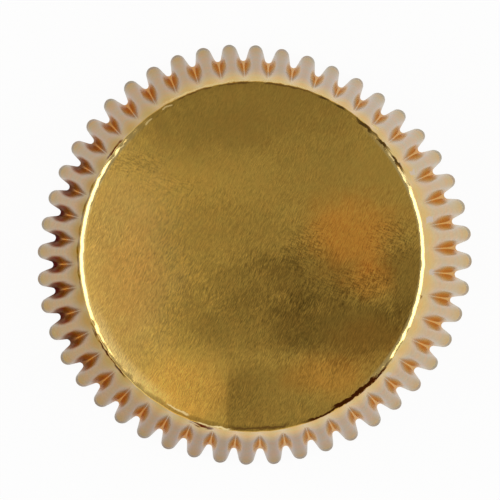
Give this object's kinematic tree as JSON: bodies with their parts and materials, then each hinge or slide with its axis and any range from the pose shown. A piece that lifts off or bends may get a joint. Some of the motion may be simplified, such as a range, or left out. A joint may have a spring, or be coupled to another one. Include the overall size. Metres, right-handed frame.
{
  "type": "cupcake liner",
  "caption": "Fluted baking cup pressed from gold foil on baking paper: a flat round base and a flared wall gathered into even flutes, standing mouth down.",
  "frame": {"origin": "on the liner's axis, in the plane that the rim's flute valleys stand on", "axes": "+Z along the axis, from the open mouth to the base disc; +X through a flute crest"},
  "size_m": [0.0648, 0.0648, 0.0282],
  "materials": {
    "foil_paper": "satin"
  },
  "bodies": {
    "root": {"liner": "foil_paper"}
  },
  "joints": []
}
